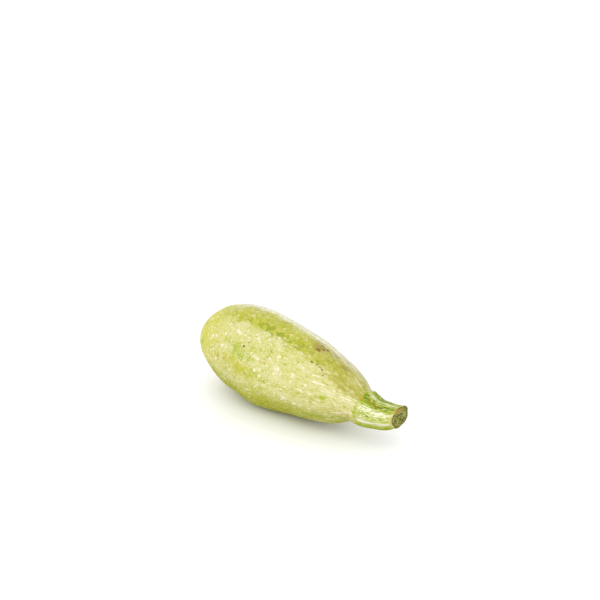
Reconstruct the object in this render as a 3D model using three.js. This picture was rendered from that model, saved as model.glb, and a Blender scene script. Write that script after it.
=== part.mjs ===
// A pale green zucchini, picked with a short ribbed stem, lying on its side.
// The fruit and its stem grew as one piece, so they are one closed solid.
// Millimetres, +Z up. The stem points along +X and the blossom end along -X.
//
// The skin is a turned profile that is then bent along the growth axis.
// A place on it is given by "along", the distance from the blossom scar measured on that axis,
// and by "angle", in degrees round the axis: 0 is the top and -90 faces -Y.

import * as THREE from "three";
import { mergeVertices } from "three/addons/utils/BufferGeometryUtils.js";

// Driving dimensions of the fruit
const BELLY_RADIUS = 25;
const NOSE_LENGTH = 36;
const FRUIT_LENGTH = 111.5;
const SHOULDER_RADIUS = 10.5;

// Driving dimensions of the stem
const STEM_LENGTH = 28.8;
const NECK_RADIUS = 7.6;
const TIP_RADIUS = 5.9;
const NECK_SHARE = 0.6;

// How blunt the blossom end is, and how the fruit tapers from the belly to the shoulder
const NOSE_BLUNT = 2.48;
const NOSE_ROUND = 2.29;
const TAPER_EARLY = 1.65;
const TAPER_LATE = 6.5;
const TAPER_MIX = 0.68;

// The growth axis: how it leans in degrees, and where along it the bends lie
const REST_PITCH = -4;
const NOSE_PITCH = 0.7;
const NOSE_YAW = 11.5;
const NOSE_BEND_END = 52;
const STEM_PITCH = 22;
const STEM_YAW = 3.5;
const STEM_BEND_START = 115;

// Uneven growth: broad swellings and hollows, with length in millimetres and spread in degrees
const LUMPS = [
  { along: 51, angle: -133, height: 2.6, length: 14, spread: 40 },
  { along: 10, angle: -140, height: -1.8, length: 12, spread: 46 },
  { along: 0, angle: -61, height: 2.7, length: 12, spread: 46 },
  { along: 68, angle: 170, height: 0.8, length: 18, spread: 40 },
  { along: 72, angle: 78, height: 0.9, length: 17, spread: 42 },
  { along: 40, angle: 118, height: -0.7, length: 15, spread: 38 },
  { along: 110, angle: -150, height: -0.5, length: 6, spread: 40 },
  { along: 121, angle: -150, height: 0.8, length: 6, spread: 40 },
];
const LUMP_FADE_RADIUS = 12;

// Five grooves run down the fruit's neck to the collar and on along the stem,
// where they turn by so many degrees a millimetre
const GROOVE_ANGLES = [-113, -33, 19, 97, 173];
const GROOVE_TWIST = -0.6;
const STEM_GROOVE = { depth: 0.15, width: 15, evened: 0.32 };
const FRUIT_GROOVE = { depth: 0.035, width: 21, evened: 0.42 };
const FRUIT_GROOVE_START = 52;
const STEM_GROOVE_RISE = 7;
const TIP_FADE = { length: 12, share: 0.5 };

// The collar, where green stem tissue laps onto the fruit behind a fine crease
const COLLAR_ALONG = 114.6;
const COLLAR_LEAN = 2;
const COLLAR_LOBE = 1;
const COLLAR_REACH = 14;
const COLLAR_RIM = { height: 0.25, width: 1.2, offset: 0.9 };
const COLLAR_CREASE = { height: -0.5, width: 1.1, offset: -0.8, deepest: 15 };

// The cut end: its plane stands upright, its face is hollowed and its edge is eased
const CUT_PITCH = -4.7;
const CUT_YAW = -3;
const CUT_BLEND = 9;
const CUT_DISH = 0.7;
const CUT_EDGE = 0.35;

// The blossom scar is a small sunken disc
const SCAR_RADIUS = 5;
const SCAR_DEPTH = 0.9;

// The underside is pressed flat by this much where it lies
const FLAT_DEPTH = 0.8;

// Faces round the body, and rings along each stretch of it
const FACES_ROUND = 72;
const NOSE_RINGS = 15;
const FRUIT_RINGS = 19;
const COLLAR_RINGS = 13;
const STEM_RINGS = 11;
const CUT_RING_SHARES = [0.93, 0.65, 0.35, 0];
const COLLAR_STRETCH = { from: 108, to: 121 };
const AXIS_STEP = 0.5;
const MERGE_GAP = 0.001;

const TOTAL_LENGTH = FRUIT_LENGTH + STEM_LENGTH;
const SKIN_LOOK = { color: 0xc6cd68, roughness: 0.36, metalness: 0 };
const UP = new THREE.Vector3(0, 0, 1);
const { degToRad, radToDeg, clamp, euclideanModulo, lerp } = THREE.MathUtils;

function ease(share) {
  return THREE.MathUtils.smoothstep(share, 0, 1);
}

function bell(offset, width) {
  return Math.exp(-((offset / width) ** 2));
}

function degreesApart(a, b) {
  return euclideanModulo(a - b + 180, 360) - 180;
}

// The turned profile
function noseAlong(radiusShare) {
  const inner = 1 - radiusShare ** NOSE_ROUND;
  return NOSE_LENGTH * (1 - inner ** (1 / NOSE_BLUNT));
}

function fruitRadius(along) {
  const share = clamp((along - NOSE_LENGTH) / (FRUIT_LENGTH - NOSE_LENGTH), 0, 1);
  const taper = TAPER_MIX * share ** TAPER_EARLY + (1 - TAPER_MIX) * share ** TAPER_LATE;
  return lerp(BELLY_RADIUS, SHOULDER_RADIUS, taper);
}

function stemRadius(along) {
  const share = (along - FRUIT_LENGTH) / STEM_LENGTH;
  const toNeck = ease(share / NECK_SHARE);
  const toTip = ease((share - NECK_SHARE) / (1 - NECK_SHARE));
  return lerp(SHOULDER_RADIUS, NECK_RADIUS, toNeck) + (TIP_RADIUS - NECK_RADIUS) * toTip;
}

function bodyRadius(along) {
  return along < FRUIT_LENGTH ? fruitRadius(along) : stemRadius(along);
}

function addRings(profile, from, to, count) {
  for (let ring = 1; ring <= count; ring += 1) {
    const along = lerp(from, to, ring / count);
    profile.push(new THREE.Vector2(bodyRadius(along), along));
  }
}

function turnedProfile() {
  const profile = [];
  for (let ring = 0; ring <= NOSE_RINGS; ring += 1) {
    const share = Math.sin((ring / NOSE_RINGS) * (Math.PI / 2));
    profile.push(new THREE.Vector2(BELLY_RADIUS * share, noseAlong(share)));
  }
  addRings(profile, NOSE_LENGTH, COLLAR_STRETCH.from, FRUIT_RINGS);
  addRings(profile, COLLAR_STRETCH.from, COLLAR_STRETCH.to, COLLAR_RINGS);
  addRings(profile, COLLAR_STRETCH.to, TOTAL_LENGTH - CUT_EDGE, STEM_RINGS);
  for (const share of CUT_RING_SHARES) {
    profile.push(new THREE.Vector2(TIP_RADIUS * share, TOTAL_LENGTH));
  }
  return profile;
}

// The direction that rises by the pitch and turns from +X towards +Y by the yaw
function direction(pitch, yaw) {
  const level = Math.cos(degToRad(pitch));
  return new THREE.Vector3(
    level * Math.cos(degToRad(yaw)),
    level * Math.sin(degToRad(yaw)),
    Math.sin(degToRad(pitch)),
  );
}

// The growth axis
function heading(along) {
  const noseShare = 1 - ease(along / NOSE_BEND_END);
  const stemShare = ease((along - STEM_BEND_START) / (TOTAL_LENGTH - STEM_BEND_START));
  const pitch = REST_PITCH + NOSE_PITCH * noseShare + STEM_PITCH * stemShare;
  return direction(pitch, NOSE_YAW * noseShare + STEM_YAW * stemShare);
}

function walkAxis() {
  const points = [new THREE.Vector3()];
  const steps = Math.ceil(TOTAL_LENGTH / AXIS_STEP);
  for (let step = 0; step < steps; step += 1) {
    const forward = heading((step + 0.5) * AXIS_STEP);
    points.push(points[step].clone().addScaledVector(forward, AXIS_STEP));
  }
  return points;
}

const AXIS = walkAxis();

function axisPoint(along) {
  const step = Math.min(Math.floor(along / AXIS_STEP), AXIS.length - 2);
  return AXIS[step].clone().lerp(AXIS[step + 1], along / AXIS_STEP - step);
}

// The relief of the skin
function grooves(along, angle, width) {
  const twist = GROOVE_TWIST * Math.max(along - COLLAR_ALONG, 0);
  return GROOVE_ANGLES.reduce(
    (sum, groove) => sum + bell(degreesApart(angle, groove + twist), width),
    0,
  );
}

function collarEdge(angle) {
  const lobes = grooves(COLLAR_ALONG, angle, STEM_GROOVE.width);
  return COLLAR_ALONG + COLLAR_LEAN * Math.cos(degToRad(angle)) + COLLAR_LOBE * (lobes - 0.5);
}

function grooveScale(along, angle) {
  const nearTip = ease((along - (TOTAL_LENGTH - TIP_FADE.length)) / TIP_FADE.length);
  const onStem = ease((along - collarEdge(angle)) / STEM_GROOVE_RISE) * (1 - TIP_FADE.share * nearTip);
  const onFruit = ease((along - FRUIT_GROOVE_START) / (COLLAR_ALONG - FRUIT_GROOVE_START));
  const stem = STEM_GROOVE.evened - grooves(along, angle, STEM_GROOVE.width);
  const fruit = FRUIT_GROOVE.evened - grooves(along, angle, FRUIT_GROOVE.width);
  return 1 + onStem * STEM_GROOVE.depth * stem + (1 - onStem) * onFruit * FRUIT_GROOVE.depth * fruit;
}

function lumpHeight(along, angle) {
  return LUMPS.reduce((sum, lump) => {
    const lengthwise = bell(along - lump.along, lump.length);
    return sum + lump.height * lengthwise * bell(degreesApart(angle, lump.angle), lump.spread);
  }, 0);
}

function collarHeight(along, angle) {
  const edge = collarEdge(angle);
  const rim = COLLAR_RIM.height * bell(along - edge - COLLAR_RIM.offset, COLLAR_RIM.width);
  const crease = COLLAR_CREASE.height * bell(along - edge - COLLAR_CREASE.offset, COLLAR_CREASE.width);
  const creaseShare = 0.5 + 0.5 * Math.cos(degToRad(angle - COLLAR_CREASE.deepest));
  return rim + crease * creaseShare;
}

// The shoulder ends at the collar, which reaches further along on top than below
function shoulderScale(along, angle) {
  const shift = (collarEdge(angle) - COLLAR_ALONG) * bell(along - COLLAR_ALONG, COLLAR_REACH);
  return bodyRadius(along - shift) / bodyRadius(along);
}

function grownRadius(radius, along, angle) {
  const lump = lumpHeight(along, angle) * Math.min(radius / LUMP_FADE_RADIUS, 1);
  const turned = radius * shoulderScale(along, angle) * grooveScale(along, angle);
  return turned + lump + collarHeight(along, angle);
}

function scarSlide(radius, along) {
  return along < NOSE_LENGTH ? SCAR_DEPTH * (1 - ease(radius / SCAR_RADIUS)) : 0;
}

const CUT_NORMAL = direction(CUT_PITCH, CUT_YAW);

function cutSlide(radius, along, outward, forward) {
  const blend = ease((along - (TOTAL_LENGTH - CUT_BLEND)) / CUT_BLEND);
  const lean = (-radius * outward.dot(CUT_NORMAL)) / forward.dot(CUT_NORMAL);
  const onFace = along > TOTAL_LENGTH - CUT_EDGE / 2;
  const dish = onFace ? CUT_DISH * (1 - Math.min(radius / TIP_RADIUS, 1) ** 2) : 0;
  return blend * lean - dish;
}

// Bends one point of the turned body to its grown place
function grow(turned) {
  const along = turned.y;
  const angle = radToDeg(Math.atan2(-turned.x, turned.z));
  const turnedRadius = Math.hypot(turned.x, turned.z);
  const forward = heading(along);
  const sideways = new THREE.Vector3().crossVectors(UP, forward).normalize();
  const upward = new THREE.Vector3().crossVectors(forward, sideways);
  const outward = upward.multiplyScalar(Math.cos(degToRad(angle)));
  outward.addScaledVector(sideways, Math.sin(degToRad(angle)));
  const radius = turnedRadius > 0 ? grownRadius(turnedRadius, along, angle) : 0;
  const slide = scarSlide(turnedRadius, along) + cutSlide(radius, along, outward, forward);
  return axisPoint(along).addScaledVector(outward, radius).addScaledVector(forward, slide);
}

function growGeometry(geometry) {
  const position = geometry.getAttribute("position");
  const point = new THREE.Vector3();
  for (let index = 0; index < position.count; index += 1) {
    const grown = grow(point.fromBufferAttribute(position, index));
    position.setXYZ(index, grown.x, grown.y, grown.z);
  }
}

// Presses the lowest part of the skin flat, and puts the origin under the middle of the body
function layDown(geometry) {
  const position = geometry.getAttribute("position");
  geometry.computeBoundingBox();
  const floor = geometry.boundingBox.min.z + FLAT_DEPTH;
  for (let index = 0; index < position.count; index += 1) {
    position.setZ(index, Math.max(position.getZ(index), floor));
  }
  geometry.computeBoundingBox();
  const middle = geometry.boundingBox.getCenter(new THREE.Vector3());
  geometry.translate(-middle.x, -middle.y, -floor);
}

// The turned body's rings meet in a point at each end, which leaves faces with no area
function dropCollapsedFaces(geometry) {
  const corners = geometry.getIndex().array;
  const kept = [];
  for (let start = 0; start < corners.length; start += 3) {
    const [a, b, c] = corners.slice(start, start + 3);
    if (a !== b && b !== c && c !== a) {
      kept.push(a, b, c);
    }
  }
  geometry.setIndex(kept);
}

function zucchiniGeometry() {
  const turned = new THREE.LatheGeometry(turnedProfile(), FACES_ROUND);
  growGeometry(turned);
  layDown(turned);
  turned.deleteAttribute("uv");
  turned.deleteAttribute("normal");
  const body = mergeVertices(turned, MERGE_GAP);
  dropCollapsedFaces(body);
  body.computeVertexNormals();
  return body;
}

const zucchini = new THREE.Mesh(zucchiniGeometry(), new THREE.MeshStandardMaterial(SKIN_LOOK));
zucchini.name = "zucchini";

const part = new THREE.Group();
part.add(zucchini);

export default part;
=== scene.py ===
# The looks of a pale green zucchini lying on its side.
# Its skin is one fine mesh, grown by the same formula as the solid that it stands for,
# with the fine relief and the colours of the skin, the stem, the cut end and the blossom scar.
# Shape values are in millimetres and degrees, and the finished mesh is in metres.
#
# A place on the skin is given by "along", the distance from the blossom scar on the growth axis,
# and by "angle", in degrees round that axis: 0 is the top and -90 faces -Y.

import math

import bpy
import numpy as np
from mathutils import Matrix, Vector


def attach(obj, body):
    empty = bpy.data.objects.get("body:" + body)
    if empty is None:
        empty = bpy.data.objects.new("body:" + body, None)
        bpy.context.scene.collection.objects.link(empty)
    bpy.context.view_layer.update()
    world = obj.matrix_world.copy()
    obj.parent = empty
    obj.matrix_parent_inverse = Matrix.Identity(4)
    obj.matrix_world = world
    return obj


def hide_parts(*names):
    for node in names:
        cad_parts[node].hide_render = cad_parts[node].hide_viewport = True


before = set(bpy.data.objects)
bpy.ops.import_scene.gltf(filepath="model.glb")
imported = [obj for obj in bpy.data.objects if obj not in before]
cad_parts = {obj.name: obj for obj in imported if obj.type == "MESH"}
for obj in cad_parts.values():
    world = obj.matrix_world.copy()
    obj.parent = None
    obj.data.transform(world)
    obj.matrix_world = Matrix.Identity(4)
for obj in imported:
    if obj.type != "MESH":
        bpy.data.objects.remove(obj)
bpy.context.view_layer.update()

METRE = 0.001

# The turned profile
BELLY_RADIUS = 25
NOSE_LENGTH = 36
FRUIT_LENGTH = 111.5
SHOULDER_RADIUS = 10.5
STEM_LENGTH = 28.8
NECK_RADIUS = 7.6
TIP_RADIUS = 5.9
NECK_SHARE = 0.6
NOSE_BLUNT = 2.48
NOSE_ROUND = 2.29
TAPER_EARLY = 1.65
TAPER_LATE = 6.5
TAPER_MIX = 0.68
TOTAL_LENGTH = FRUIT_LENGTH + STEM_LENGTH

# The growth axis
REST_PITCH = -4
NOSE_PITCH = 0.7
NOSE_YAW = 11.5
NOSE_BEND_END = 52
STEM_PITCH = 22
STEM_YAW = 3.5
STEM_BEND_START = 115
AXIS_STEP = 0.5

# Uneven growth: along, angle, height, length and spread of each swelling or hollow
LUMPS = [
    (51, -133, 2.6, 14, 40),
    (10, -140, -1.8, 12, 46),
    (0, -61, 2.7, 12, 46),
    (68, 170, 0.8, 18, 40),
    (72, 78, 0.9, 17, 42),
    (40, 118, -0.7, 15, 38),
    (110, -150, -0.5, 6, 40),
    (121, -150, 0.8, 6, 40),
]
LUMP_FADE_RADIUS = 12

# Grooves, collar, cut end, blossom scar and flat spot
GROOVE_ANGLES = [-113, -33, 19, 97, 173]
GROOVE_TWIST = -0.6
STEM_GROOVE = {"depth": 0.15, "width": 15, "evened": 0.32}
FRUIT_GROOVE = {"depth": 0.035, "width": 21, "evened": 0.42}
FRUIT_GROOVE_START = 52
STEM_GROOVE_RISE = 7
TIP_FADE = {"length": 12, "share": 0.5}
COLLAR_ALONG = 114.6
COLLAR_LEAN = 2
COLLAR_LOBE = 1
COLLAR_REACH = 14
COLLAR_RIM = {"height": 0.25, "width": 1.2, "offset": 0.9}
COLLAR_CREASE = {"height": -0.5, "width": 1.1, "offset": -0.8, "deepest": 15}
CUT_PITCH = -4.7
CUT_YAW = -3
CUT_BLEND = 9
CUT_DISH = 0.7
CUT_EDGE = 0.35
SCAR_RADIUS = 5
SCAR_DEPTH = 0.9
FLAT_DEPTH = 0.8

# The fine mesh: faces round it, and rings along each stretch
FACES_ROUND = 264
NOSE_RINGS = 80
FRUIT_RINGS = 130
STEM_STRETCH_START = 106
STEM_RINGS = 112
EDGE_RINGS = 4
FACE_RINGS = 20

# Fine relief that the solid leaves out: how far apart its hills are, and how high they reach.
# The skin lies a little inside the solid's surface, so that no hill stands proud of it.
FINE_INSET = 0.2
UNDULATION = {"size": 12, "reach": 0.07, "seed": 3}
DIMPLES = {"size": 3.4, "reach": 0.03, "seed": 4}
CUT_BURR = {"size": 2.4, "reach": 0.14, "seed": 11}
BURR_NARROWING = [1, 3, 3]
BURR_LENGTH = 2.5
FACE_FIBRE = {"size": 1.6, "reach": 0.13, "seed": 21}
FINE_FIBRE = {"size": 0.8, "reach": 0.078, "seed": 22}
FIBRE_RIM = 1.2
RELIEF_FADE_RADIUS = 7
RIPPLE_WAVES = 16

# Lengthwise ribs: how many go round, how high they are and how far they wander, and where they rise
NECK_RIBS = {"count": 31, "height": 0.08, "wobble": 2.2, "seed": 5, "start": 76, "length": 34}
STEM_RIBS = {"count": 27, "height": 0.13, "wobble": 1.8, "seed": 8}
STEM_RIBS_RISE = 3
RIB_DRIFT = {"size": 20, "squeeze": 0.3}
RIB_STRENGTH = {"size": 9, "squeeze": 0.4, "uneven": 0.4}

# How much longer later growth drew the young skin out towards the stem
NECK_DRAWN = {"extra": 1.4, "start": 58, "length": 50}
YOUNG_STATIONS = 600

# Olive zones run lengthwise down the fruit: their middle angles, half widths in degrees and strengths
ZONES = [(21.5, 50, 1), (132, 22, 0.75), (-158, 18, 0.65), (-86, 10, 0.3)]
ZONE_EDGE = 14
ZONE_RISE = {"start": 4, "length": 26}
ZONE_SPREAD = {"extra": 12, "start": 90, "length": 20}

# Rows of dark green spots follow the edges of the zones: angle, strength and half width in degrees
BANDS = [(-20, 1.35, 9), (66, 0.6, 8), (113, 0.8, 8), (151, 0.6, 7), (-144, 0.7, 8), (-88, 0.3, 10)]
BAND_RISE = {"start": 25, "length": 25}
BAND_FALL = {"start": 66, "length": 42}

# How many degrees the zones and the rows wander together, and the edges of the zones besides
WANDER = {"size": 26, "reach": 2.5, "seed": 33}
EDGE_WANDER = {"size": 7, "reach": 1.5, "seed": 34}

# Where the colour of the nose, partly painted shade, fades out, and where that of the neck comes in
NOSE_TONE = {"start": 4, "length": 30}
NECK_TONE = {"start": 70, "length": 40}

# The stem's ridges: their angles at the collar, and how white they are; and how green each groove is
STEM_RIDGES = [(-110, 1.35), (-82, 0.5), (-53, 1), (5, 1), (58, 0.8), (86, 0.4), (135, 1), (-150, 0.3)]
RIDGE_WIDTH = 15
GROOVE_GREEN = [0.1, 0.5, 0.8, 0.8, 0.8]
GROOVE_TONE_WIDTH = 9

# How far past the collar's edge the fruit's colour reaches, on top and underneath
COLLAR_LAG = (0.4, 3.2)

# The field of the cut face is 0 in its middle and 1 at its rim, and this everywhere else
OFF_FACE = 1.2

# Spots and patches: the distance of each from the blossom scar over the skin, its angle,
# its half length, its half width and its strength
PATCHES = {
    "brown": [
        (81, -4, 1.9, 1, 1), (82.5, 4, 1.5, 0.8, 1), (84, 10, 1.4, 0.8, 0.9),
        (84.5, -2.5, 0.9, 0.6, 0.8), (79, 9, 2.2, 0.9, 0.7), (76, 17, 1.8, 0.8, 0.6),
        (71, 17, 1.2, 0.8, 0.6), (90, 21, 0.9, 0.7, 0.8), (95, 27, 1.4, 1, 0.8),
        (84.5, -28.5, 0.9, 0.6, 1), (87.5, -27.5, 0.6, 0.5, 0.9), (90.3, -28.5, 1.1, 0.5, 0.9),
        (92, -30.5, 0.7, 0.6, 1), (94.5, -38, 0.5, 0.5, 0.9),
        (44, -56, 0.7, 0.7, 1), (46, -49, 0.6, 0.6, 0.8),
        (64, 118, 1, 0.8, 0.9), (70, 121, 0.7, 0.6, 0.8), (44, 160, 0.8, 0.7, 0.9),
        (21, 96, 0.9, 0.8, 0.8), (92, -158, 1.1, 0.6, 0.9), (56, 64, 0.7, 0.7, 0.8),
    ],
    "orange": [
        (26.5, -82, 1.1, 1.1, 1), (32, -82, 0.8, 0.8, 1.1), (40, -97, 0.8, 1.2, 0.7),
        (24, -65.5, 1.4, 0.7, 0.7), (29, -24.5, 1.5, 0.6, 0.8), (18, -47.5, 1.5, 0.6, 0.8),
        (23.5, -48, 1, 1, 0.6), (99, 4, 1.6, 0.9, 0.5), (102, -68, 0.8, 0.5, 0.7),
        (105.5, -47.5, 0.8, 0.5, 0.6), (110, -103, 0.8, 0.6, 0.7), (112.4, -107.5, 1.2, 0.9, 1),
        (118, -33, 1.5, 0.65, 1),
        (117, 66, 0.7, 1.6, 0.8), (113.5, 150, 0.7, 1.8, 0.9), (47, -148, 1.1, 1.8, 0.6),
        (17, 60, 1.2, 1, 0.6),
    ],
    "green": [
        (8.5, -76, 1.3, 2.2, 1.1), (28, -30, 3, 2, 0.5), (33, -57, 0.9, 0.9, 0.9),
        (38.7, -63, 3, 2.6, 1), (44, -68, 3.4, 2.2, 1), (50, -67, 3, 1.8, 0.8),
        (50, -55, 2, 1.4, 0.7), (60, -45, 3, 2, 0.5), (72.5, -53, 1, 1, 1),
        (79, -41, 0.9, 0.8, 0.9), (89, -80.5, 1.2, 0.7, 0.7), (93.5, -90, 2, 0.8, 0.9),
        (99, -75, 3.2, 1.2, 1), (100, -46.5, 1.8, 1, 0.7), (105, 0, 0.7, 0.5, 0.9),
        (118.5, -34, 0.9, 1, 1), (120.5, -34, 0.9, 0.9, 1), (122.3, -35, 1, 1, 1),
        (124.5, -38.5, 1, 0.9, 1), (124, -11, 0.8, 0.5, 1), (125.5, -9.5, 0.7, 0.5, 0.9),
        (119, -60, 1.2, 0.5, 0.8), (121, -75, 1.6, 0.4, 0.8),
        (88, -122, 3.2, 1.3, 1), (95, -121, 2.6, 1.1, 1), (60, 88, 2.4, 1.6, 0.8),
        (34, 140, 2, 1.7, 0.8), (84, 70, 2.8, 1.4, 0.8), (75, -142, 2.3, 1.4, 0.7),
        (63, 84, 1.4, 1.2, 0.7),
    ],
    "olive": [
        (38, -78, 5, 3, 1.1), (45, -82, 5, 3, 1.2), (52, -87, 5, 1.8, 0.6), (42, -92, 4, 1.6, 0.6),
        (41, -64, 4, 3, 0.7), (46, -66, 5, 2.5, 0.5), (60, -112, 6, 2.5, 0.5), (99, -74, 4, 1.8, 0.6),
        (62, 172, 5, 4, 0.7), (30, 118, 4, 4, 0.6),
    ],
    "pale": [
        (15.5, -54.5, 0.9, 0.9, 0.8), (26, -101, 1.2, 1, 0.8), (26.5, -38, 1.1, 0.9, 0.8),
        (37, -43.5, 1.6, 1.2, 1), (46, -76.5, 1.6, 0.7, 0.9), (49.5, -38, 1.2, 1.1, 0.9),
        (53.5, -61.5, 2.4, 0.8, 0.9), (63, -93, 1.5, 0.9, 0.9), (65.5, -27.5, 1.4, 0.9, 0.7),
        (69.5, -63, 2, 1.4, 1), (79.5, -60, 2, 0.9, 0.9), (81, -43.5, 1.2, 0.8, 0.8),
        (83, -105, 1.8, 0.8, 0.9), (87, -105, 1.2, 0.7, 0.8), (94.5, 0, 1.3, 0.6, 0.8),
        (58, -166, 1.8, 1.1, 0.8), (74, 100, 1.7, 1.2, 0.8),
    ],
    "haze": [
        (80, 4, 4, 3.4, 1), (76, 14, 5, 2.5, 0.7), (88, 14, 5, 2, 0.7), (99, 2, 3.5, 2, 0.9),
        (62, 128, 5, 3.2, 0.7),
    ],
}

# Fine lines: half width, then the places (distance over the skin, angle) that each one runs through
LINES = {
    "brown": [(0.12, [(124.5, -22), (127, -29.5), (129, -33.5), (132, -37)])],
    "orange": [
        (0.28, [(56.5, -64), (61.5, -64)]), (0.4, [(86, 101), (92, 103)]),
        (0.9, [(141.2, -44), (141.6, -30), (142.2, -16), (141.8, 2)]),
        (0.4, [(143, -4), (144, -40)]),
    ],
    "green": [
        (0.5, [(118.4, -34), (122, -34), (124.5, -38), (127.2, -46), (131.8, -52), (135, -52),
               (138.5, -50)]),
        (0.9, [(104, 42), (109, 46), (114, 38), (117, 26)]),
        (0.4, [(119, 23), (123, 29), (127.5, 32), (133, 27), (138, 23)]),
        (0.3, [(100, 140), (108, 146), (114, 150)]),
    ],
    "pale": [
        (0.6, [(91.5, -56), (98, -52)]), (0.45, [(89.5, -46.5), (93, -43.5)]),
        (0.45, [(108, -57), (113, -55)]), (0.45, [(104.5, -103.5), (112.5, -98)]),
        (0.35, [(107.5, 1.5), (112, 1.5)]), (0.4, [(66, 96), (72, 97)]),
    ],
    "haze": [(0.5, [(121.5, -25), (125, -32), (129, -38)])],
}

# The marks in the order in which they are painted, and where their edge starts and is full
MARK_EDGES = {
    "haze": (0.2, 0.9),
    "olive": (0.1, 1.0),
    "green": (0.4, 0.85),
    "pale": (0.3, 0.9),
    "orange": (0.36, 0.75),
    "brown": (0.26, 0.7),
}

# The marks that are broken up like a lattice
LATTICE_MARKS = ("olive", "green")

# The skin's mottling: how far apart its patches are, and how strong they are
MOTTLING = [(0.6, 0.95), (1.3, 0.8), (3.2, 0.6), (11, 0.55)]

# Flecks and specks: how far apart they can be, their widest radius,
# and how many times both are shrunk, lengthwise and crosswise
FLECKS = {
    "tiny fleck": {"spacing": 0.95, "widest": 0.45, "shrunk": (1, 1.1)},
    "small fleck": {"spacing": 1.7, "widest": 0.85, "shrunk": (1, 1)},
    "large fleck": {"spacing": 3, "widest": 1.35, "shrunk": (0.85, 1)},
    "green speck": {"spacing": 4.6, "widest": 0.9, "shrunk": (0.9, 1.3)},
    "brown speck": {"spacing": 6, "widest": 0.8, "shrunk": (1.2, 0.9)},
}
FLECK_WARP = {"size": 1.3, "reach": 1.3}

# How much weaker the cream flecks are on the zones, underneath as part of the painted shade there, and
# the large ones on the neck
FLECKS_WEAKER = {"zone": 0.45, "underside": 0.5, "neck": 0.7}

# The stem's streaks: their width, how strong the short and the long ones are at the collar, and how
# much of that strength passes from the short to the long ones, over which distances past the collar
STREAKS = {"width": 0.9, "short": 2.2, "long": 0.5, "passed_on": 1.2, "passing": (4, 16)}
STREAKS_MEAN = (STREAKS["short"] + STREAKS["long"]) / 2

# How much the streaks are whitened on the ridges and on the very top,
# and how far they make the grooves' and the collar rim's edges uneven
WHITENED = {"ridge": 0.42, "top": -0.1}
UNEVEN_EDGE = {"groove": -0.8, "rim": -5}

# Where these tones start and end: out from the middle of the blossom scar, or past the collar
TONE_EDGES = {
    "cork": (2.5, 3.2),
    "scar edge": (1.7, 2.5),
    "stem": (-0.1, 0.4),
    "collar rim": (0.7, 2.2),
    "fading groove": (10, 17),
    "stem dry end": (21.8, 23.8),
}

# Coats of colour: how strongly each is laid on, and how it shows in this light,
# in red, green and blue from 0 to 255
COATS = {
    # The nose's coat is partly its own yellow and partly painted shade, darker olive where the light
    # falls off at the end
    "nose": (0.7, (208, 204, 14)),
    "neck": (0.35, (224, 212, 140)),
    "row of dark green": (0.8, (142, 158, 0)),
    "pale band": (0.45, (238, 234, 188)),
    "pale line": (0.5, (244, 238, 200)),
    "dark line": (0.45, (156, 154, 8)),
    "tiny fleck": (0.5, (240, 234, 170)),
    "small fleck": (0.95, (246, 237, 204)),
    "large fleck": (0.85, (252, 240, 220)),
    "green speck": (0.6, (142, 158, 10)),
    "brown speck": (0.7, (176, 128, 44)),
    "haze mark": (0.75, (154, 128, 22)),
    "olive mark": (0.8, (190, 188, 6)),
    "green mark": (0.75, (156, 180, 0)),
    "pale mark": (0.75, (252, 240, 212)),
    "orange mark": (0.7, (208, 146, 62)),
    "brown mark": (0.85, (118, 84, 0)),
    "scar edge": (0.5, (134, 112, 50)),
    "stem white": (1, (252, 249, 228)),
    "stem groove": (0.75, (140, 154, 4)),
    # Painted shade: darker green on the stem where it faces down
    "stem underside shade": (0.6, (150, 164, 8)),
    "stem dry end": (0.55, (214, 205, 126)),
    "collar rim": (0.8, (174, 182, 4)),
    "pith fibre": (0.7, (204, 198, 146)),
    "pith bundle": (0.75, (70, 70, 4)),
    # Painted shade: a dark ring just inside the rind of the cut face
    "shade inside the rind": (0.6, (82, 80, 8)),
    "rind": (0.8, (184, 186, 76)),
}

# Patchy grounds, from their dark tone to their light one
GROUNDS = {
    "pale skin": [(178, 182, 0), (218, 215, 141), (233, 228, 196)],
    "olive skin": [(148, 156, 0), (188, 188, 36), (216, 212, 112)],
    "brownish skin": [(136, 126, 0), (172, 162, 48), (204, 194, 110)],
    # The underside's tones are painted shade: darker and more olive than the skin above them
    "underside": [(132, 142, 0), (170, 172, 18), (202, 198, 76)],
    "cork": [(160, 132, 74), (204, 186, 128)],
    "stem": [(98, 126, 0), (198, 205, 98)],
    "pith": [(80, 88, 0), (158, 156, 60)],
}

# How strongly these grounds cover the skin that they lie on
COVER = {"brownish skin": 0.7, "olive skin": 0.95, "underside": 0.95, "cork": 0.85}

# Roughness: the least, how much its unevenness adds, and what each part adds to it
ROUGHNESS = {"least": 0.17, "uneven": 0.2, "stem": 0.28, "cut": 0.15, "underside": 0.45, "nose": 0.15}
SKIN_IOR = 1.31

# The grain that is too fine for the mesh, with its height in metres
GRAIN = {"size": 0.7, "strength": 0.3, "height": 0.0002}

# The floor: its half width in metres, and how white and how rough it is
FLOOR = {"half_width": 30, "white": 0.9, "roughness": 0.6}

# The camera: degrees, the distance in metres, and the lens and the film's width in millimetres.
# The pixel is where the picture shows the point that it aims at.
CAMERA = {"azimuth": 44.9, "elevation": 25.1, "roll": 0.57, "distance": 0.766, "lens": 85, "film": 36}
AIM_POINT = Vector((0, 0, 0.025))
AIM_PIXEL = (302.4, 372.5)
PICTURE_PIXELS = 600

# Soft panels of light, in degrees, metres and watts
LIGHTS = {
    "key": {
        "azimuth": 25, "elevation": 40, "distance": 1.6, "width": 2.2, "height": 2.2,
        "power": 16, "tint": (1, 1, 1), "in_gloss": False,
    },
    "rim": {
        "azimuth": 218, "elevation": 8, "distance": 1.5, "width": 0.9, "height": 0.4,
        "power": 3.6, "tint": (0.62, 0.55, 1), "in_gloss": True,
    },
}

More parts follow.
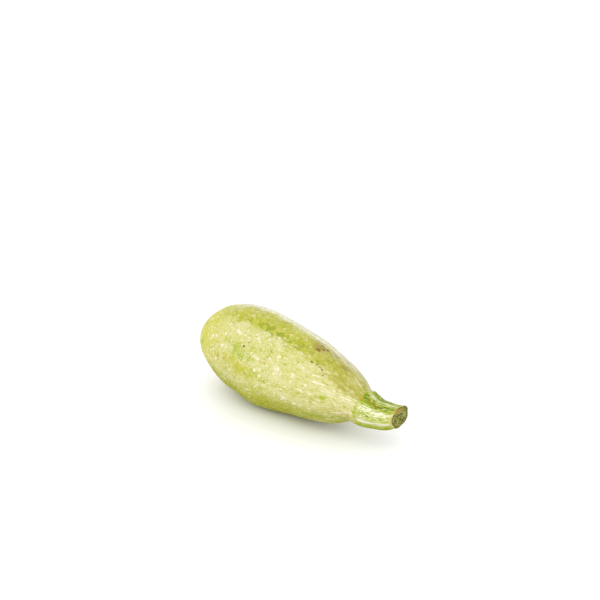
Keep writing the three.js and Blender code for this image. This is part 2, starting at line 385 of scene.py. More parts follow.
# The strength of the white surroundings, and the share of the way up from which it is full
SURROUNDINGS = {"horizon": 1, "overhead": 1.12, "full_height": 0.7}

# How bright the lights make a white surface that faces them
LIGHT_LEVEL = 1.3


def ease(share):
    share = np.clip(share, 0, 1)
    return share * share * (3 - 2 * share)


def bell(offset, width):
    return np.exp(-((offset / width) ** 2))


def degrees_apart(a, b):
    return (a - b + 180) % 360 - 180


def blend(a, b, share):
    return a + (b - a) * share


def rise(along, stretch):
    """0 up to the start of the stretch, and eased up to 1 over its length."""
    return ease((along - stretch["start"]) / stretch["length"])


def tip_share(along, length):
    """0 up to that length before the cut end, and eased up to 1 over it."""
    return ease((along - (TOTAL_LENGTH - length)) / length)


# The form, as the solid has it
def nose_along(radius_share):
    inner = 1 - radius_share**NOSE_ROUND
    return NOSE_LENGTH * (1 - inner ** (1 / NOSE_BLUNT))


def body_radius(along):
    share = np.clip((along - NOSE_LENGTH) / (FRUIT_LENGTH - NOSE_LENGTH), 0, 1)
    taper = TAPER_MIX * share**TAPER_EARLY + (1 - TAPER_MIX) * share**TAPER_LATE
    fruit = blend(BELLY_RADIUS, SHOULDER_RADIUS, taper)
    stem_share = (along - FRUIT_LENGTH) / STEM_LENGTH
    to_neck = ease(stem_share / NECK_SHARE)
    to_tip = ease((stem_share - NECK_SHARE) / (1 - NECK_SHARE))
    stem = blend(SHOULDER_RADIUS, NECK_RADIUS, to_neck) + (TIP_RADIUS - NECK_RADIUS) * to_tip
    return np.where(along < FRUIT_LENGTH, fruit, stem)


def direction(pitch, yaw):
    pitch, yaw = np.radians(pitch), np.radians(yaw)
    level = np.cos(pitch)
    return np.stack([level * np.cos(yaw), level * np.sin(yaw), np.sin(pitch)], -1)


def heading(along):
    nose_share = 1 - ease(along / NOSE_BEND_END)
    stem_share = ease((along - STEM_BEND_START) / (TOTAL_LENGTH - STEM_BEND_START))
    pitch = REST_PITCH + NOSE_PITCH * nose_share + STEM_PITCH * stem_share
    return direction(pitch, NOSE_YAW * nose_share + STEM_YAW * stem_share)


def axis_point(along):
    steps = math.ceil(TOTAL_LENGTH / AXIS_STEP)
    strides = heading((np.arange(steps) + 0.5) * AXIS_STEP) * AXIS_STEP
    points = np.vstack([np.zeros(3), np.cumsum(strides, axis=0)])
    stations = np.arange(steps + 1) * AXIS_STEP
    return np.stack([np.interp(along, stations, points[:, i]) for i in range(3)], -1)


def stripes(along, angle, middles, width):
    """Soft lengthwise stripes of these angles and strengths, which twist from the collar on."""
    twist = GROOVE_TWIST * np.maximum(along - COLLAR_ALONG, 0)
    return sum(
        strength * bell(degrees_apart(angle, middle + twist), width)
        for middle, strength in middles
    )


def grooves(along, angle, width):
    return stripes(along, angle, [(middle, 1) for middle in GROOVE_ANGLES], width)


def collar_edge(angle):
    lobes = grooves(COLLAR_ALONG, angle, STEM_GROOVE["width"])
    return COLLAR_ALONG + COLLAR_LEAN * np.cos(np.radians(angle)) + COLLAR_LOBE * (lobes - 0.5)


def groove_scale(along, angle):
    fading = 1 - TIP_FADE["share"] * tip_share(along, TIP_FADE["length"])
    on_stem = ease((along - collar_edge(angle)) / STEM_GROOVE_RISE) * fading
    on_fruit = ease((along - FRUIT_GROOVE_START) / (COLLAR_ALONG - FRUIT_GROOVE_START))
    stem = STEM_GROOVE["evened"] - grooves(along, angle, STEM_GROOVE["width"])
    fruit = FRUIT_GROOVE["evened"] - grooves(along, angle, FRUIT_GROOVE["width"])
    stem_part = on_stem * STEM_GROOVE["depth"] * stem
    return 1 + stem_part + (1 - on_stem) * on_fruit * FRUIT_GROOVE["depth"] * fruit


def lump_height(along, angle):
    return sum(
        height * bell(along - place, length) * bell(degrees_apart(angle, middle), spread)
        for place, middle, height, length, spread in LUMPS
    )


def collar_height(along, angle):
    past = along - collar_edge(angle)
    rim = COLLAR_RIM["height"] * bell(past - COLLAR_RIM["offset"], COLLAR_RIM["width"])
    crease = COLLAR_CREASE["height"] * bell(past - COLLAR_CREASE["offset"], COLLAR_CREASE["width"])
    return rim + crease * (0.5 + 0.5 * np.cos(np.radians(angle - COLLAR_CREASE["deepest"])))


def shoulder_scale(along, angle):
    shift = (collar_edge(angle) - COLLAR_ALONG) * bell(along - COLLAR_ALONG, COLLAR_REACH)
    return body_radius(along - shift) / body_radius(along)


def grown_radius(along, turned_radius, angle):
    lump = lump_height(along, angle) * np.minimum(turned_radius / LUMP_FADE_RADIUS, 1)
    turned = turned_radius * shoulder_scale(along, angle) * groove_scale(along, angle)
    return turned + lump + collar_height(along, angle)


def on_cut_face(along):
    return along > TOTAL_LENGTH - CUT_EDGE / 2


def outward_directions(along, angle):
    forward = heading(along)
    sideways = np.cross([0.0, 0.0, 1.0], forward)
    sideways /= np.linalg.norm(sideways, axis=-1, keepdims=True)
    upward = np.cross(forward, sideways)
    turn = np.radians(angle)[..., None]
    return forward, upward * np.cos(turn) + sideways * np.sin(turn)


def slide_along(along, turned_radius, radius, forward, outward):
    """How far each point moves along the axis: the sunken scar, the slanting cut and its dished face."""
    scar = np.where(along < NOSE_LENGTH, SCAR_DEPTH * (1 - ease(turned_radius / SCAR_RADIUS)), 0)
    cut_normal = direction(CUT_PITCH, CUT_YAW)
    lean = -radius * (outward @ cut_normal) / (forward @ cut_normal)
    hollow = CUT_DISH * (1 - np.minimum(turned_radius / TIP_RADIUS, 1) ** 2)
    return scar + lean * tip_share(along, CUT_BLEND) - np.where(on_cut_face(along), hollow, 0)


def grow(along, turned_radius, angle, extra_radius=0, extra_slide=0):
    """Where the points of the turned body have grown to, with any fine relief added."""
    forward, outward = outward_directions(along, angle)
    radius = np.where(turned_radius > 0, grown_radius(along, turned_radius, angle) + extra_radius, 0)
    slide = slide_along(along, turned_radius, radius, forward, outward) + extra_slide
    return axis_point(along) + outward * radius[..., None] + forward * slide[..., None]


# The young skin: where each point lay before the neck and the stem were drawn out
def skin_places(along, turned_radius, angle):
    stations = np.linspace(0, TOTAL_LENGTH, YOUNG_STATIONS)
    drawn = 1 + NECK_DRAWN["extra"] * rise(stations, NECK_DRAWN)
    young = np.concatenate([[0], np.cumsum(np.diff(stations) / drawn[1:])])
    radius = np.where(along < NOSE_LENGTH, turned_radius, np.sqrt(body_radius(along) * BELLY_RADIUS))
    turn = np.radians(angle)
    young_along = np.interp(along, stations, young)
    return np.stack([young_along, radius * np.cos(turn), radius * np.sin(turn)], -1)


# The fine relief
def ripples(places, size, seed):
    """A smooth random field between about -2 and 2, with its hills about one size apart."""
    draws = np.random.default_rng(seed)
    waves = draws.normal(size=(RIPPLE_WAVES, 3))
    waves *= 2 * math.pi / size / np.linalg.norm(waves, axis=1, keepdims=True)
    phases = draws.uniform(0, 2 * math.pi, RIPPLE_WAVES)
    total = sum(np.cos(places @ wave + phase) for wave, phase in zip(waves, phases))
    return total * (2 / RIPPLE_WAVES) ** 0.5


def uneven(places, kind):
    return kind["reach"] * ripples(places, kind["size"], kind["seed"])


def ribs(skin, angle, kind):
    """Fine lengthwise ribs, uneven in place and in strength."""
    drift = ripples(skin * [RIB_DRIFT["squeeze"], 1, 1], RIB_DRIFT["size"], kind["seed"])
    patches = ripples(skin * [RIB_STRENGTH["squeeze"], 1, 1], RIB_STRENGTH["size"], kind["seed"] + 1)
    strength = 1 - RIB_STRENGTH["uneven"] + RIB_STRENGTH["uneven"] * patches
    waves = np.cos(np.radians(angle) * kind["count"] + kind["wobble"] * drift)
    return kind["height"] * strength * waves


def fine_height(along, turned_radius, angle, skin):
    """How far the relief lifts the skin, less the inset; it fades out where the body is thin."""
    on_stem = ease((along - collar_edge(angle)) / STEM_RIBS_RISE)
    on_neck = rise(along, NECK_RIBS) * (1 - on_stem)
    swell = uneven(skin, UNDULATION) + uneven(skin, DIMPLES)
    neck = ribs(skin, angle, NECK_RIBS) * on_neck
    stem = ribs(skin, angle, STEM_RIBS) * on_stem
    burr = uneven(skin * BURR_NARROWING, CUT_BURR) * tip_share(along, BURR_LENGTH)
    height = swell * (1 - on_stem) + neck + stem + burr - FINE_INSET
    return np.where(on_cut_face(along), 0, height * ease(turned_radius / RELIEF_FADE_RADIUS))


def end_slide(along, turned_radius, angle):
    """How far the last stretch is drawn back into the solid, and the torn fibres of its cut face."""
    turn = np.radians(angle)
    across = np.stack([turned_radius * np.cos(turn), turned_radius * np.sin(turn), 0 * turn], -1)
    off_rim = ease((TIP_RADIUS - turned_radius) / FIBRE_RIM)
    fibre = (uneven(across, FACE_FIBRE) + uneven(across, FINE_FIBRE)) * off_rim
    return np.where(on_cut_face(along), fibre, 0) - FINE_INSET * tip_share(along, BURR_LENGTH)


# The rings of the mesh
def ring_stations():
    """Distance along and turned radius of every ring, from beside the blossom scar to the cut face."""
    nose_share = np.sin(np.linspace(0, math.pi / 2, NOSE_RINGS + 1))[1:]
    fruit = np.linspace(NOSE_LENGTH, STEM_STRETCH_START, FRUIT_RINGS + 1)[1:]
    stem = np.linspace(STEM_STRETCH_START, TOTAL_LENGTH - CUT_EDGE, STEM_RINGS + 1)[1:]
    turn = np.linspace(0, math.pi / 2, EDGE_RINGS + 1)[1:]
    edge_along = TOTAL_LENGTH - CUT_EDGE * (1 - np.sin(turn))
    edge_radius = TIP_RADIUS - CUT_EDGE * (1 - np.cos(turn))
    face_radius = np.linspace(edge_radius[-1], 0, FACE_RINGS + 1)[1:-1]
    face_along = np.full(len(face_radius), TOTAL_LENGTH)
    along = np.concatenate([nose_along(nose_share), fruit, stem, edge_along, face_along])
    sides = np.concatenate([body_radius(fruit), body_radius(stem)])
    radius = np.concatenate([BELLY_RADIUS * nose_share, sides, edge_radius, face_radius])
    return along, radius


def grid():
    """Along, turned radius and angle of every point, ring by ring, with one more point at each end."""
    along, radius = ring_stations()
    angle = np.linspace(-180, 180, FACES_ROUND, endpoint=False)
    along, radius, angle = np.broadcast_arrays(along[:, None], radius[:, None], angle)
    ends = np.array([[0, 0, 0], [TOTAL_LENGTH, 0, 0]], float)
    return np.vstack([np.stack([along, radius, angle], -1).reshape(-1, 3), ends]).T


def lay_down(points, plain_points):
    """Rests the points on the floor as the plain body rests on it, with its middle over the origin."""
    low, high = plain_points.min(0), plain_points.max(0)
    middle = (low + high) / 2
    points = points - [middle[0], middle[1], low[2] + FLAT_DEPTH]
    points[:, 2] = np.maximum(points[:, 2], 0)
    return points


def grid_faces(rings):
    """Quads between the rings and a fan of triangles at each end, with their faces pointing out."""
    here = np.arange(FACES_ROUND)
    after = (here + 1) % FACES_ROUND
    start = np.arange(rings - 1)[:, None] * FACES_ROUND
    corners = (start + here, start + after, start + FACES_ROUND + after, start + FACES_ROUND + here)
    quads = np.stack(corners, -1).reshape(-1, 4).tolist()
    last = (rings - 1) * FACES_ROUND
    nose, tip = rings * FACES_ROUND, rings * FACES_ROUND + 1
    nose_fan = np.stack([np.full(FACES_ROUND, nose), after, here], -1).tolist()
    tip_fan = np.stack([np.full(FACES_ROUND, tip), last + here, last + after], -1).tolist()
    return quads + nose_fan + tip_fan


# The fields that the colours are painted by
def patch_depth(patch, along, angle, radius):
    """The patch's strength at its middle, half of it at its edge and 0 at twice its size."""
    place, middle, half_length, half_width, strength = patch
    lengthwise = (along - place) / half_length
    crosswise = np.radians(degrees_apart(angle, middle)) * radius / half_width
    return strength * (1 - np.hypot(lengthwise, crosswise) / 2)


def line_depth(line, along, angle, radius):
    """The same for a line through several places, whose edge is its half width away from it."""
    half_width, places = line
    depth = np.zeros_like(along)
    for (from_along, from_angle), (to_along, to_angle) in zip(places, places[1:]):
        step = np.stack([0 * radius + to_along - from_along, np.radians(to_angle - from_angle) * radius])
        here = np.stack([along - from_along, np.radians(degrees_apart(angle, from_angle)) * radius])
        share = np.clip((here * step).sum(0) / (step * step).sum(0), 0, 1)
        depth = np.maximum(depth, 1 - np.hypot(*(here - share * step)) / half_width / 2)
    return depth


def mark_field(kind, along, turned_radius, angle):
    """How deep inside a mark of this kind each point lies, with the cut face unrolled past the stem."""
    over_skin = np.where(on_cut_face(along), TOTAL_LENGTH + TIP_RADIUS - turned_radius, along)
    radius = body_radius(np.clip(along, NOSE_LENGTH, TOTAL_LENGTH))
    depths = [patch_depth(patch, over_skin, angle, radius) for patch in PATCHES[kind]]
    depths += [line_depth(line, over_skin, angle, radius) for line in LINES.get(kind, [])]
    return np.maximum(np.max(depths, axis=0), 0)


def zone_field(along, angle, skin):
    """1 inside the olive zones, whose edges wander a little, and 0 on the pale skin between them."""
    wander = uneven(skin, WANDER) + uneven(skin, EDGE_WANDER)
    spread = ZONE_SPREAD["extra"] * rise(along, ZONE_SPREAD)
    field = np.zeros_like(along)
    for middle, half_width, strength in ZONES:
        inside = half_width + spread - np.abs(degrees_apart(angle, middle + wander))
        field = np.maximum(field, strength * ease(inside / ZONE_EDGE + 0.5))
    return field * rise(along, ZONE_RISE)


def band_field(along, angle, skin):
    """The rows of dark green, which wander a little and fade out at the nose and at the collar."""
    wander = uneven(skin, WANDER)
    bands = sum(
        strength * bell(degrees_apart(angle, middle + wander), width)
        for middle, strength, width in BANDS
    )
    return bands * rise(along, BAND_RISE) * (1 - rise(along, BAND_FALL))


def paint_fields(along, turned_radius, angle):
    skin = skin_places(along, turned_radius, angle)
    topside = np.cos(np.radians(angle))
    fields = {
        "skin_place": skin,
        "past_collar": along - collar_edge(angle) - blend(*COLLAR_LAG, 0.5 - 0.5 * topside),
        "topside": topside,
        "zone": zone_field(along, angle, skin),
        "neck": rise(along, NECK_TONE),
        "nose": 1 - rise(along, NOSE_TONE),
        "band": band_field(along, angle, skin),
        "ridge": stripes(along, angle, STEM_RIDGES, RIDGE_WIDTH),
        "groove": stripes(along, angle, zip(GROOVE_ANGLES, GROOVE_GREEN), GROOVE_TONE_WIDTH),
        "cut_face": np.where(on_cut_face(along), turned_radius / TIP_RADIUS, OFF_FACE),
        "scar_distance": np.where(along < NOSE_LENGTH, turned_radius, BELLY_RADIUS),
    }
    for kind in PATCHES:
        fields[kind] = mark_field(kind, along, turned_radius, angle)
    return fields


def add_field(mesh, name, values):
    kind, key = ("FLOAT_VECTOR", "vector") if values.ndim == 2 else ("FLOAT", "value")
    layer = mesh.attributes.new(name, kind, "POINT")
    layer.data.foreach_set(key, np.asarray(values, float).ravel())


def add_map(mesh, along, turned_radius):
    """Unrolls the skin as a sheet, as high as the distance over its rings, with its seam underneath."""
    rings = (len(along) - 2) // FACES_ROUND
    ring_along, ring_radius = along[:-2:FACES_ROUND], turned_radius[:-2:FACES_ROUND]
    steps = np.hypot(np.diff(ring_along, prepend=0), np.diff(ring_radius, prepend=0))
    height = np.cumsum(steps)
    total = height[-1] + ring_radius[-1]
    corner_points = np.empty(len(mesh.loops), int)
    mesh.loops.foreach_get("vertex_index", corner_points)
    column = corner_points % FACES_ROUND
    row = np.minimum(corner_points // FACES_ROUND, rings - 1)
    corners_of_faces = [polygon.loop_total for polygon in mesh.polygons]
    face_column = np.repeat(np.arange(len(mesh.polygons)), corners_of_faces) % FACES_ROUND
    past_seam = (face_column == FACES_ROUND - 1) & (column == 0)
    across = np.where(past_seam, FACES_ROUND, column) / FACES_ROUND
    up = height[row] / total
    at_end = corner_points >= rings * FACES_ROUND
    across = np.where(at_end, (face_column + 0.5) / FACES_ROUND, across)
    up = np.where(at_end, (corner_points - rings * FACES_ROUND).astype(float), up)
    layer = mesh.uv_layers.new(name="OFBake")
    layer.data.foreach_set("uv", np.stack([across, up], -1).ravel())


def zucchini_piece():
    along, radius, angle = grid()
    skin = skin_places(along, radius, angle)
    relief = fine_height(along, radius, angle, skin)
    plain_points = grow(along, radius, angle)
    points = grow(along, radius, angle, relief, end_slide(along, radius, angle))
    points = lay_down(points, plain_points) * METRE
    mesh = bpy.data.meshes.new("zucchini_skin")
    mesh.from_pydata(points.tolist(), [], grid_faces((len(along) - 2) // FACES_ROUND))
    for name, values in paint_fields(along, radius, angle).items():
        add_field(mesh, name, values)
    add_map(mesh, along, radius)
    mesh.shade_smooth()
    mesh.materials.append(skin_material())
    piece = bpy.data.objects.new("zucchini_skin", mesh)
    bpy.context.scene.collection.objects.link(piece)
    return piece


# Materials
def colour(seen):
    """A colour as it shows in this light, made into the linear share of light that is sent back."""
    seen = np.array(seen) / 255
    linear = np.where(seen <= 0.04045, seen / 12.92, ((seen + 0.055) / 1.055) ** 2.4)
    return (*(linear / LIGHT_LEVEL).tolist(), 1)


class Paint:
    """A new material and short calls for the nodes that paint it. Sizes are in millimetres."""

    def __init__(self, name):
        self.material = bpy.data.materials.new(name)
        self.material.use_nodes = True
        self.tree = self.material.node_tree
        self.shader = self.tree.nodes["Principled BSDF"]

    def give(self, node, inputs):
        """Gives each input its value, or a link where the value comes from another node."""
        for key, value in inputs.items():
            if isinstance(value, bpy.types.NodeSocket):
                self.tree.links.new(value, node.inputs[key])
            else:
                node.inputs[key].default_value = value

    def node(self, kind, inputs, **settings):
        made = self.tree.nodes.new(kind)
        for name, value in settings.items():
            setattr(made, name, value)
        self.give(made, inputs)
        return made

    def field(self, name):
        made = self.node("ShaderNodeAttribute", {}, attribute_name=name)
        return made.outputs["Vector" if name == "skin_place" else "Fac"]

    def math(self, operation, *values):
        return self.node("ShaderNodeMath", dict(enumerate(values)), operation=operation).outputs[0]

    def plus(self, a, b):
        return self.math("ADD", a, b)

    def times(self, a, b):
        return self.math("MULTIPLY", a, b)

    def inverse(self, share, strength=1):
        """1 where the share is 0, and less by the strength where it is 1."""
        return self.math("SUBTRACT", 1, self.times(share, strength))

    def step(self, value, low, high):
        """0 up to low, 1 from high on, and eased between them."""
        limits = {"Value": value, "From Min": low, "From Max": high}
        return self.node("ShaderNodeMapRange", limits, interpolation_type="SMOOTHSTEP").outputs[0]

    def vector(self, operation, *values):
        return self.node("ShaderNodeVectorMath", dict(enumerate(values)), operation=operation).outputs[0]

    def stretched(self, place, along, across):
        """The place with its lengths multiplied, so that a pattern on it shrinks by as much."""
        return self.vector("MULTIPLY", place, (along, across, across))

    def noise_node(self, place, size, detail=2.0, roughness=0.5):
        settings = {"Vector": place, "Scale": 1 / size, "Detail": detail, "Roughness": roughness}
        return self.node("ShaderNodeTexNoise", settings)

    def noise(self, place, size, detail=2.0, roughness=0.5):
        """Between 0 and 1, and mostly near 0.5."""
        return self.noise_node(place, size, detail, roughness).outputs[0]

    def ragged(self, place, size, reach, detail=2.0, roughness=0.5):
        """Noise about 0, which added to a share makes its edge ragged."""
        return self.times(self.plus(self.noise(place, size, detail, roughness), -0.5), reach)

    def spots(self, place, spacing, widest):
        """1 in the middle of round spots of any radius up to the widest, 0 outside them."""
        cells = self.node("ShaderNodeTexVoronoi", {"Vector": place, "Scale": 1 / spacing})
        chance = self.node("ShaderNodeSeparateColor", {0: cells.outputs["Color"]}).outputs[0]
        radius = self.times(chance, widest / spacing)
        inside = self.math("SUBTRACT", radius, cells.outputs["Distance"])
        soft_edge = 0.6 * widest / spacing
        return self.step(inside, 0.0, soft_edge)

    def mix(self, share, under, over):
        inputs = {0: share, 6: under, 7: over}
        return self.node("ShaderNodeMix", inputs, data_type="RGBA").outputs[2]

    def lay(self, base, share, name):
        """The named coat laid over the base, on that share of it."""
        strength, seen = COATS[name]
        return self.mix(self.times(share, strength), base, colour(seen))

    def ground(self, share, name):
        """The tones of the named ground one after another, the first at 0 and the last at 1."""
        base, *lighter = [colour(seen) for seen in GROUNDS[name]]
        place = self.times(share, len(lighter))
        for number, tone in enumerate(lighter):
            base = self.mix(self.plus(place, -number), base, tone)
        return base


def facing_down(paint, low, high):
    """0 where the skin faces down by up to low, 1 from high on; sideways is 0 and straight down 1."""
    return paint.step(paint.times(paint.field("topside"), -1), low, high)


def off_nose(paint):
    """0 on the tip of the nose, where all angles meet, and 1 behind it."""
    return paint.inverse(paint.step(paint.field("nose"), 0.5, 1.0))


def warped(paint, place):
    """The place moved a little this way and that, so that spots on it aren't quite round."""
    noise = paint.noise_node(place, FLECK_WARP["size"], 1).outputs["Color"]
    centred = paint.vector("ADD", noise, (-0.5, -0.5, -0.5))
    return paint.vector("MULTIPLY_ADD", centred, (FLECK_WARP["reach"],) * 3, place)


def mottling(paint, place):
    """About 0.5 on average: patchy at four scales, from half a millimetre up to a centimetre."""
    total = 0.5 - 0.5 * sum(strength for size, strength in MOTTLING)
    for size, strength in MOTTLING:
        total = paint.plus(total, paint.times(paint.noise(place, size, detail=1), strength))
    return total


def plain_skin(paint, patchy):
    """Pale yellow-green skin, yellow-olive at the nose, partly its own colour and partly painted shade,
    and warmer on the neck.
    """
    base = paint.ground(patchy, "pale skin")
    # The nose's yellow-olive coat is partly its own colour and partly painted shade
    base = paint.lay(base, paint.field("nose"), "nose")
    return paint.lay(base, paint.field("neck"), "neck")


def darker_skin(paint, base, patchy, place):
    """Olive zones that turn brownish on the neck, painted shade in darker olive underneath, and rows of
    dark green.
    """
    brownish = paint.times(paint.field("neck"), COVER["brownish skin"])
    olive = paint.ground(patchy, "olive skin")
    olive = paint.mix(brownish, olive, paint.ground(patchy, "brownish skin"))
    streaks = paint.ragged(paint.stretched(place, 0.4, 1), size=2.6, reach=1.8, detail=3, roughness=0.65)
    zone = paint.step(paint.plus(paint.field("zone"), streaks), 0.0, 1.0)
    base = paint.mix(paint.times(zone, COVER["olive skin"]), base, olive)

    # Painted shade: the skin that faces down is laid over with the darker olive tones of the underside
    underside = paint.times(facing_down(paint, 0.0, 0.6), off_nose(paint))
    underside = paint.times(underside, COVER["underside"])
    base = paint.mix(underside, base, paint.ground(patchy, "underside"))

    spots = paint.ragged(paint.stretched(place, 0.7, 1), size=2.2, reach=6, roughness=0.6)
    rows = paint.step(paint.plus(paint.field("band"), spots), 0.6, 1.7)
    return paint.lay(base, rows, "row of dark green")


def neck_lines(paint, base, place):
    """Broad pale bands and fine pale and dark lines on the neck, the pale ones weaker on the zones."""
    lines = paint.noise(paint.stretched(place, 0.2, 1), size=0.5, roughness=0.65)
    bands = paint.noise(paint.stretched(place, 0.15, 1), size=3, detail=1)
    neck = paint.field("neck")
    off_zone = paint.times(neck, paint.inverse(paint.field("zone"), 0.6))
    base = paint.lay(base, paint.times(off_zone, paint.step(bands, 0.46, 0.66)), "pale band")
    base = paint.lay(base, paint.times(off_zone, paint.step(lines, 0.5, 0.62)), "pale line")
    return paint.lay(base, paint.times(neck, paint.step(lines, 0.5, 0.38)), "dark line")


def flecks(paint, base, place):
    """Cream flecks, weaker on the zones and, as painted shade, underneath, and a few green and brown
    specks.
    """
    # Painted shade: the flecks fade on the skin that faces down
    shaded_below = paint.times(facing_down(paint, 0.1, 0.7), off_nose(paint))
    off_zone = paint.inverse(paint.field("zone"), FLECKS_WEAKER["zone"])
    cream = paint.plus(off_zone, paint.times(shaded_below, -FLECKS_WEAKER["underside"]))
    large = paint.times(cream, paint.inverse(paint.field("neck"), FLECKS_WEAKER["neck"]))
    strengths = {"tiny fleck": cream, "small fleck": cream, "large fleck": large}
    grain = warped(paint, place)
    for name, kind in FLECKS.items():
        spots = paint.spots(paint.stretched(grain, *kind["shrunk"]), kind["spacing"], kind["widest"])
        base = paint.lay(base, paint.times(spots, strengths.get(name, 1)), name)
    return base


def scar_colour(paint, base, here):
    """The corky blossom scar, tan with a darker edge."""
    distance = paint.plus(paint.field("scar_distance"), paint.ragged(here, size=2.4, reach=3))
    inside = paint.inverse(paint.step(distance, *TONE_EDGES["cork"]))
    fine = paint.noise(here, size=0.5, roughness=0.6)
    cork = paint.ground(paint.step(fine, 0.36, 0.66), "cork")
    base = paint.mix(paint.times(inside, COVER["cork"]), base, cork)
    towards_edge = paint.step(distance, *TONE_EDGES["scar edge"])
    return paint.lay(base, paint.times(inside, towards_edge), "scar edge")


def stem_streaks(paint, place):
    """Short streaks at the collar, which give way to long ones towards the cut."""
    short = paint.noise(paint.stretched(place, 0.8, 1), STREAKS["width"], detail=3, roughness=0.85)
    long = paint.noise(paint.stretched(place, 0.18, 1), STREAKS["width"], detail=3, roughness=0.8)
    passing = paint.step(paint.field("past_collar"), *STREAKS["passing"])
    passed_on = paint.times(passing, STREAKS["passed_on"])
    short_part = paint.times(short, paint.math("SUBTRACT", STREAKS["short"], passed_on))
    return paint.plus(short_part, paint.times(long, paint.plus(STREAKS["long"], passed_on)))


def stem_colour(paint, place):
    """Ridges streaked white, green grooves, painted shade in darker green underneath, a dry cut end and
    a yellow-green rim.
    """
    past_collar = paint.field("past_collar")
    streaks = stem_streaks(paint, place)
    uneven_edge = paint.plus(streaks, -STREAKS_MEAN)
    on_top = paint.step(paint.field("topside"), 0.9, 1.0)
    whiteness = paint.plus(streaks, paint.times(paint.field("ridge"), WHITENED["ridge"]))
    whiteness = paint.plus(whiteness, paint.times(on_top, WHITENED["top"]))
    base = paint.ground(paint.step(whiteness, 1.34, 1.52), "stem")
    base = paint.lay(base, paint.step(whiteness, 1.67, 1.78), "stem white")

    groove = paint.plus(paint.field("groove"), paint.times(uneven_edge, UNEVEN_EDGE["groove"]))
    fading = paint.inverse(paint.step(past_collar, *TONE_EDGES["fading groove"]), 0.7)
    base = paint.lay(base, paint.times(paint.step(groove, 0.4, 1.0), fading), "stem groove")
    # Painted shade: the stem's underside is laid over with darker green
    base = paint.lay(base, facing_down(paint, 0.44, 0.58), "stem underside shade")

    dry = paint.step(paint.plus(past_collar, streaks), *TONE_EDGES["stem dry end"])
    base = paint.lay(base, dry, "stem dry end")
    ragged_past = paint.plus(past_collar, paint.times(uneven_edge, UNEVEN_EDGE["rim"]))
    past_rim = paint.step(ragged_past, *TONE_EDGES["collar rim"])
    return paint.lay(base, paint.inverse(past_rim), "collar rim")


def cut_colour(paint, here):
    """The dull cut face: fibrous pith with darker bundles, a dark ring of painted shade round it and a
    paler rind.
    """
    fine = paint.noise(here, size=0.5, roughness=0.6)
    coarse = paint.noise(here, size=1.7)
    base = paint.ground(paint.step(coarse, 0.4, 0.58), "pith")
    base = paint.lay(base, paint.step(fine, 0.5, 0.6), "pith fibre")
    base = paint.lay(base, paint.spots(here, spacing=1.6, widest=0.8), "pith bundle")
    towards_rim = paint.plus(paint.field("cut_face"), paint.times(coarse, 0.3))
    # Painted shade: a dark ring where the dished face meets the rind
    base = paint.lay(base, paint.step(towards_rim, 0.9, 1.05), "shade inside the rind")
    return paint.lay(base, paint.step(towards_rim, 1.1, 1.18), "rind")


def marked_colour(paint, base, place):
    """The marks that are placed one by one, with ragged edges, or broken up like a lattice."""
    ragged = paint.ragged(place, size=0.9, reach=0.9)
    lattice = paint.ragged(place, size=1, reach=3.4, detail=3, roughness=0.7)
    for kind, (low, high) in MARK_EDGES.items():
        edge = lattice if kind in LATTICE_MARKS else ragged
        share = paint.step(paint.plus(paint.field(kind), edge), low, high)
        base = paint.lay(base, share, kind + " mark")
    return base


def skin_colour(paint, place, on_stem, on_face):
    here = paint.stretched(paint.node("ShaderNodeTexCoord", {}).outputs["Object"], 1 / METRE, 1 / METRE)
    patchy = mottling(paint, place)
    fruit = plain_skin(paint, patchy)
    fruit = darker_skin(paint, fruit, patchy, place)
    fruit = neck_lines(paint, fruit, place)
    fruit = flecks(paint, fruit, place)
    fruit = scar_colour(paint, fruit, here)
    seen = paint.mix(on_stem, fruit, stem_colour(paint, place))
    seen = paint.mix(on_face, seen, cut_colour(paint, here))
    return marked_colour(paint, seen, place)


def skin_roughness(paint, place, on_stem, on_face):
    """Waxy on the fruit, and duller on the stem, on the cut, underneath and at the nose."""
    waxy = paint.times(paint.noise(place, size=2.5), ROUGHNESS["uneven"])
    rough = paint.plus(waxy, ROUGHNESS["least"])
    rough = paint.plus(rough, paint.times(on_stem, ROUGHNESS["stem"]))
    rough = paint.plus(rough, paint.times(on_face, ROUGHNESS["cut"]))
    rough = paint.plus(rough, paint.times(facing_down(paint, -0.1, 0.5), ROUGHNESS["underside"]))
    return paint.plus(rough, paint.times(paint.field("nose"), ROUGHNESS["nose"]))


def skin_grain(paint, place):
    relief = paint.noise(place, GRAIN["size"], roughness=0.6)
    inputs = {"Height": relief, "Strength": GRAIN["strength"], "Distance": GRAIN["height"]}
    return paint.node("ShaderNodeBump", inputs).outputs[0]


def skin_material():
    paint = Paint("skin")
    place = paint.field("skin_place")
    collar = paint.plus(paint.field("past_collar"), paint.ragged(place, size=1.8, reach=4.5))
    on_stem = paint.step(collar, *TONE_EDGES["stem"])
    on_face = paint.inverse(paint.step(paint.field("cut_face"), 1.0, 1.15))
    paint.give(paint.shader, {
        "Base Color": skin_colour(paint, place, on_stem, on_face),
        "Roughness": skin_roughness(paint, place, on_stem, on_face),
        "Normal": skin_grain(paint, place),
        "IOR": SKIN_IOR,
    })
    return paint.material


def floor_piece():
    half = FLOOR["half_width"]
    white = FLOOR["white"]
    corners = [(-half, -half, 0), (half, -half, 0), (half, half, 0), (-half, half, 0)]
    mesh = bpy.data.meshes.new("floor")
    mesh.from_pydata(corners, [], [(0, 1, 2, 3)])
    paint = Paint("floor")
    paint.give(paint.shader, {"Base Color": (white, white, white, 1), "Roughness": FLOOR["roughness"]})
    mesh.materials.append(paint.material)
    floor = bpy.data.objects.new("floor", mesh)
    bpy.context.scene.collection.objects.link(floor)
    return floor


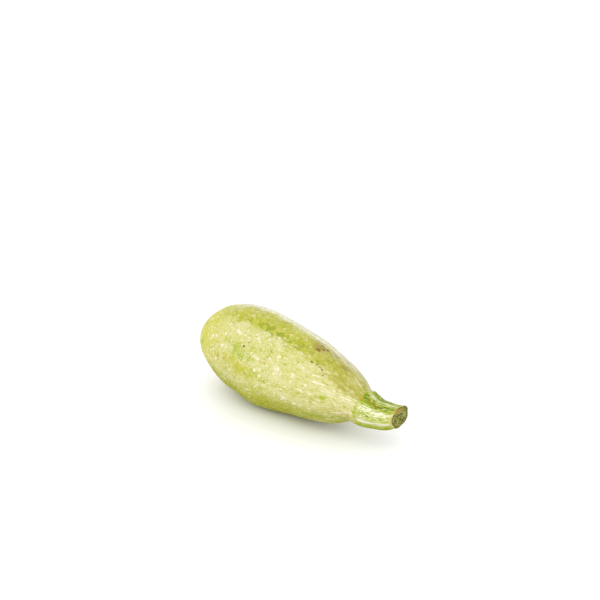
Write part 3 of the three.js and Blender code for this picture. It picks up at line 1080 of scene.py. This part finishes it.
# Light and camera
def bearing(azimuth, elevation):
    """The direction from the object to something at that azimuth and elevation."""
    azimuth, elevation = math.radians(azimuth), math.radians(elevation)
    level = math.cos(elevation)
    return Vector((math.sin(azimuth) * level, -math.cos(azimuth) * level, math.sin(elevation)))


def soft_light(name, azimuth, elevation, distance, width, height, power, tint, in_gloss):
    """A soft panel of light, which shows in the skin's gloss or only lights it."""
    lamp = bpy.data.lights.new(name, "AREA")
    lamp.color = tint
    lamp.shape = "RECTANGLE"
    lamp.size = width
    lamp.size_y = height
    lamp.energy = power
    light = bpy.data.objects.new(name, lamp)
    light.visible_glossy = in_gloss
    back = bearing(azimuth, elevation)
    light.location = AIM_POINT + back * distance
    light.rotation_euler = back.to_track_quat("Z", "Y").to_euler()
    bpy.context.scene.collection.objects.link(light)


def white_surroundings():
    """White all round, of one strength at the horizon and another overhead."""
    world = bpy.data.worlds.new("white")
    world.use_nodes = True
    nodes, links = world.node_tree.nodes, world.node_tree.links
    height = nodes.new("ShaderNodeSeparateXYZ")
    links.new(nodes.new("ShaderNodeTexCoord").outputs["Generated"], height.inputs[0])
    strength = nodes.new("ShaderNodeMapRange")
    links.new(height.outputs["Z"], strength.inputs["Value"])
    strength.inputs["From Max"].default_value = SURROUNDINGS["full_height"]
    strength.inputs["To Min"].default_value = SURROUNDINGS["horizon"]
    strength.inputs["To Max"].default_value = SURROUNDINGS["overhead"]
    background = nodes["Background"]
    background.inputs["Color"].default_value = (1, 1, 1, 1)
    links.new(strength.outputs[0], background.inputs["Strength"])
    bpy.context.scene.world = world


def photo_camera():
    lens = bpy.data.cameras.new("camera")
    lens.lens = CAMERA["lens"]
    lens.sensor_width = CAMERA["film"]
    lens.shift_x = -(AIM_PIXEL[0] - PICTURE_PIXELS / 2) / PICTURE_PIXELS
    lens.shift_y = (AIM_PIXEL[1] - PICTURE_PIXELS / 2) / PICTURE_PIXELS
    camera = bpy.data.objects.new("camera", lens)
    back = bearing(CAMERA["azimuth"], CAMERA["elevation"])
    level_right = back.cross((0, 0, -1)).normalized()
    upright = back.cross(level_right)
    roll = Matrix.Rotation(math.radians(CAMERA["roll"]), 3, back)
    axes = Matrix((roll @ level_right, roll @ upright, back)).transposed()
    camera.matrix_world = Matrix.Translation(AIM_POINT + back * CAMERA["distance"]) @ axes.to_4x4()
    bpy.context.scene.collection.objects.link(camera)
    bpy.context.scene.camera = camera


photo_camera()
white_surroundings()
for light_name, light_values in LIGHTS.items():
    soft_light(light_name, **light_values)

zucchini = zucchini_piece()
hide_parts("zucchini")
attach(zucchini, "root")
floor_piece()

bpy.context.scene.view_settings.view_transform = "Standard"
